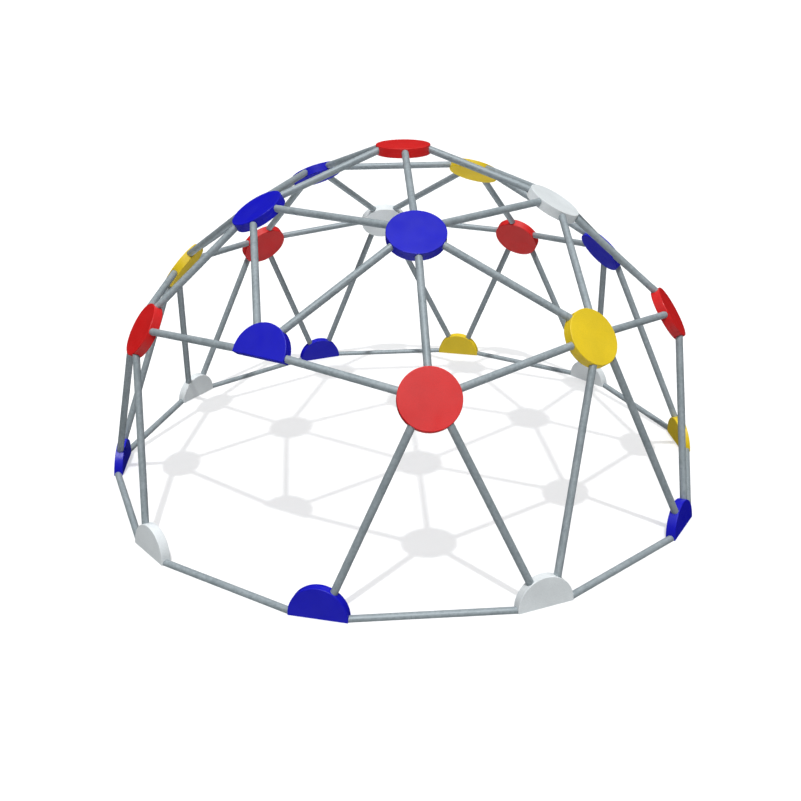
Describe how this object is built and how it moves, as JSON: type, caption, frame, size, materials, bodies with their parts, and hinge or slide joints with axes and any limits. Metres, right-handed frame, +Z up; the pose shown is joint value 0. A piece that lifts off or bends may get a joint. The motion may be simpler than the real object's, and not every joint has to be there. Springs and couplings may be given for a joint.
{
  "type": "dome climber",
  "caption": "Geodesic climbing dome of straight steel tubes joined by disc-shaped coloured plastic hubs, with half hubs on the ground and an open bay as the entrance.",
  "frame": {"origin": "on the ground, on the dome's vertical axis, at the middle of the base ring", "axes": "+Z up; -Y towards the bay between the two front base hubs, with the entrance bay between -X and -Y"},
  "size_m": [3.1086, 3.0358, 1.6825],
  "materials": {
    "red_plastic": "smooth moulded",
    "blue_plastic": "smooth moulded",
    "yellow_plastic": "smooth moulded",
    "white_plastic": "smooth moulded",
    "galvanised_tube": "satin galvanised",
    "plate_steel": "hot-dip galvanised",
    "zinc_fasteners": "zinc plated"
  },
  "bodies": {
    "root": {"base_inner_covers_blue": "blue_plastic", "base_inner_covers_white": "white_plastic", "base_inner_covers_yellow": "yellow_plastic", "base_left_1_outer_cover": "blue_plastic", "base_left_2_outer_cover": "blue_plastic", "base_left_3_outer_cover": "white_plastic", "base_left_4_outer_cover": "blue_plastic", "base_left_5_outer_cover": "blue_plastic", "base_right_1_outer_cover": "white_plastic", "base_right_2_outer_cover": "yellow_plastic", "base_right_3_outer_cover": "yellow_plastic", "base_right_4_outer_cover": "white_plastic", "base_right_5_outer_cover": "white_plastic", "base_ring_tubes": "galvanised_tube", "base_tube_lugs": "plate_steel", "crown_inner_covers_red": "red_plastic", "crown_outer_cover": "red_plastic", "crown_tube_lugs": "plate_steel", "crown_tubes": "galvanised_tube", "entrance_inner_covers_blue": "blue_plastic", "entrance_outer_cover": "blue_plastic", "entrance_tube_lugs": "plate_steel", "five_way_core_plates": "plate_steel", "half_core_plates": "plate_steel", "lug_flange_bolts": "zinc_fasteners", "lug_nuts": "zinc_fasteners", "shoulder_1_outer_cover": "red_plastic", "shoulder_2_outer_cover": "red_plastic", "shoulder_3_outer_cover": "red_plastic", "shoulder_4_outer_cover": "red_plastic", "shoulder_5_outer_cover": "red_plastic", "shoulder_inner_covers_red": "red_plastic", "shoulder_to_base_tubes": "galvanised_tube", "shoulder_to_waist_left_tubes": "galvanised_tube", "shoulder_to_waist_right_tubes": "galvanised_tube", "shoulder_tube_lugs": "plate_steel", "six_way_core_plates": "plate_steel", "upper_1_outer_cover": "blue_plastic", "upper_2_outer_cover": "white_plastic", "upper_3_outer_cover": "yellow_plastic", "upper_4_outer_cover": "blue_plastic", "upper_5_outer_cover": "blue_plastic", "upper_inner_covers_blue": "blue_plastic", "upper_inner_covers_white": "white_plastic", "upper_inner_covers_yellow": "yellow_plastic", "upper_ring_tubes": "galvanised_tube", "upper_to_shoulder_tubes": "galvanised_tube", "upper_to_waist_left_tubes": "galvanised_tube", "upper_to_waist_right_tubes": "galvanised_tube", "upper_tube_lugs": "plate_steel", "waist_1_outer_cover": "yellow_plastic", "waist_2_outer_cover": "blue_plastic", "waist_3_outer_cover": "white_plastic", "waist_4_outer_cover": "yellow_plastic", "waist_inner_covers_blue": "blue_plastic", "waist_inner_covers_white": "white_plastic", "waist_inner_covers_yellow": "yellow_plastic", "waist_to_base_left_tubes": "galvanised_tube", "waist_to_base_right_tubes": "galvanised_tube", "waist_tube_lugs": "plate_steel"}
  },
  "joints": []
}
